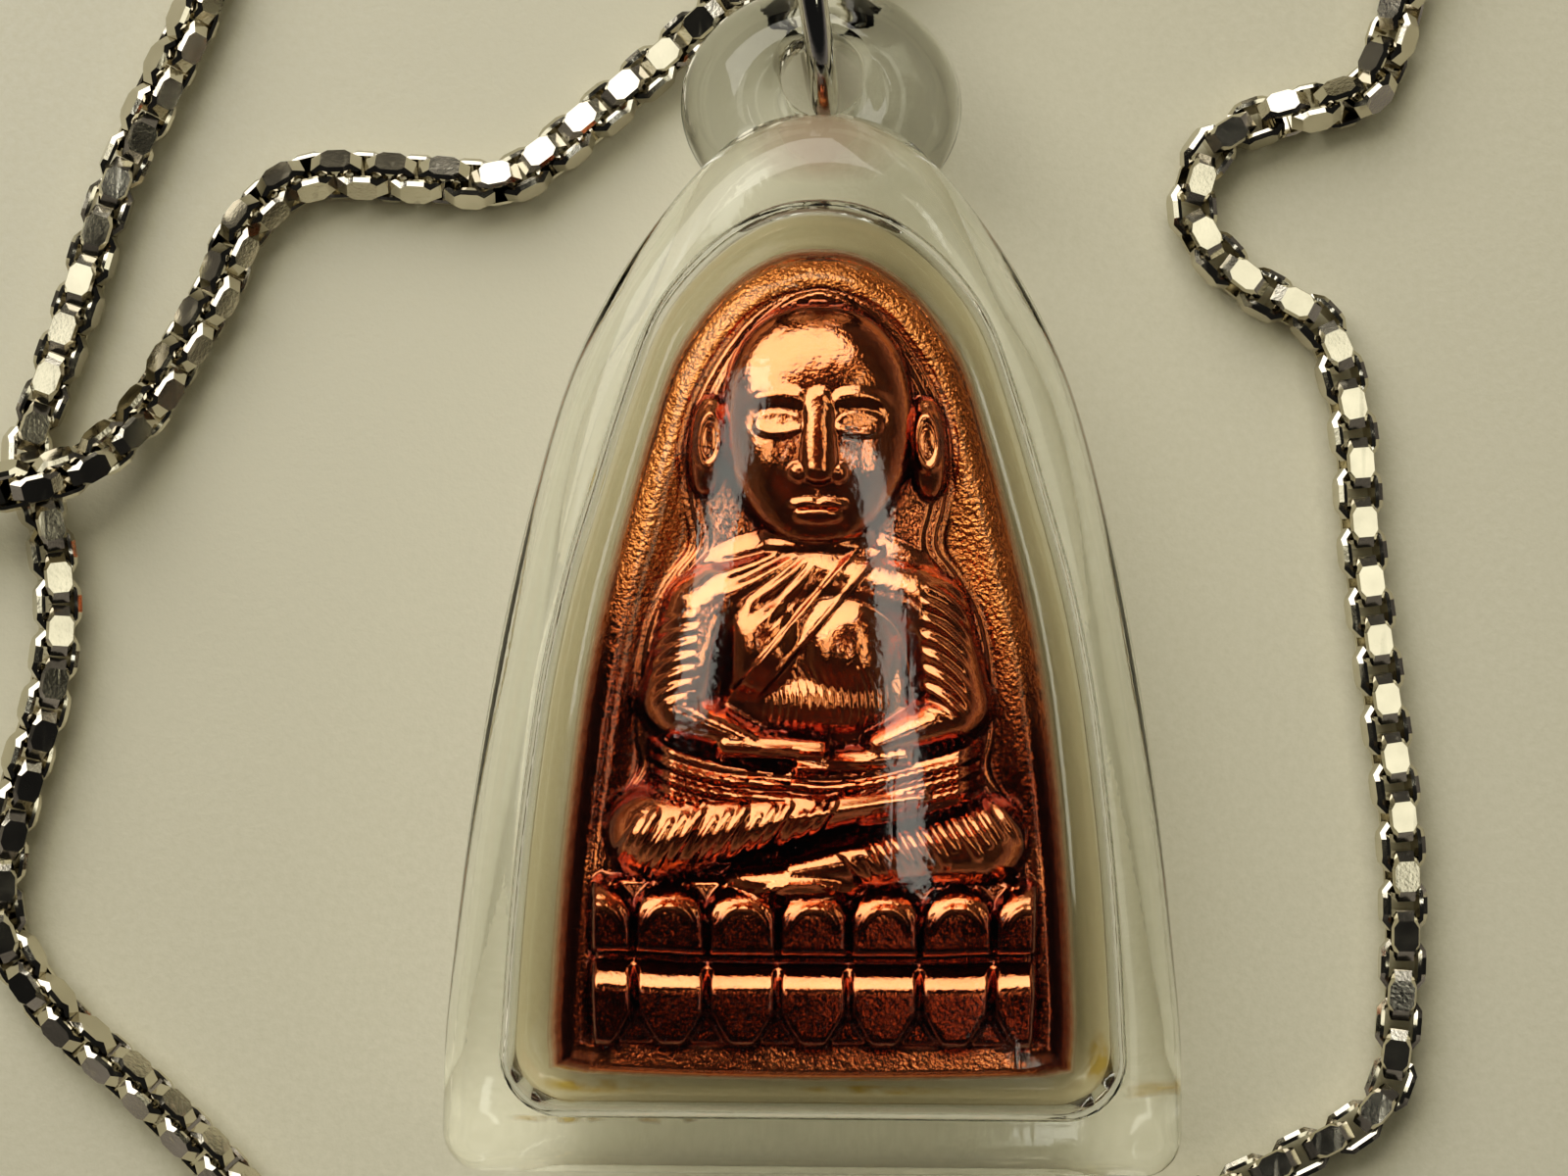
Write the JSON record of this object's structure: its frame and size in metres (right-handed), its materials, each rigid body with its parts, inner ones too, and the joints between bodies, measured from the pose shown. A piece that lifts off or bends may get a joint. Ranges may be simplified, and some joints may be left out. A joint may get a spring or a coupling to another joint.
{
  "type": "encased amulet pendant on a chain",
  "caption": "Arch-shaped relief plaque of a seated monk, sealed in a clear case with an eyelet, hung by a ring on a box chain necklace.",
  "frame": {"origin": "middle of the case's flat back, on the surface the pendant lies on", "axes": "+Z out of the plaque's front, up from the surface; +Y from the case's foot to its point and eyelet; +X to the right seen from the front"},
  "size_m": [0.094, 0.1498, 0.012],
  "materials": {
    "clear_acrylic": "clear gloss",
    "copper": "cast, lacquered, bright on the raised parts",
    "steel": "polished"
  },
  "bodies": {
    "root": {"case_front": "clear_acrylic", "case_back": "clear_acrylic", "eyelet": "clear_acrylic", "amulet": "copper", "ring": "steel", "chain": "steel", "clasp": "steel"}
  },
  "joints": []
}
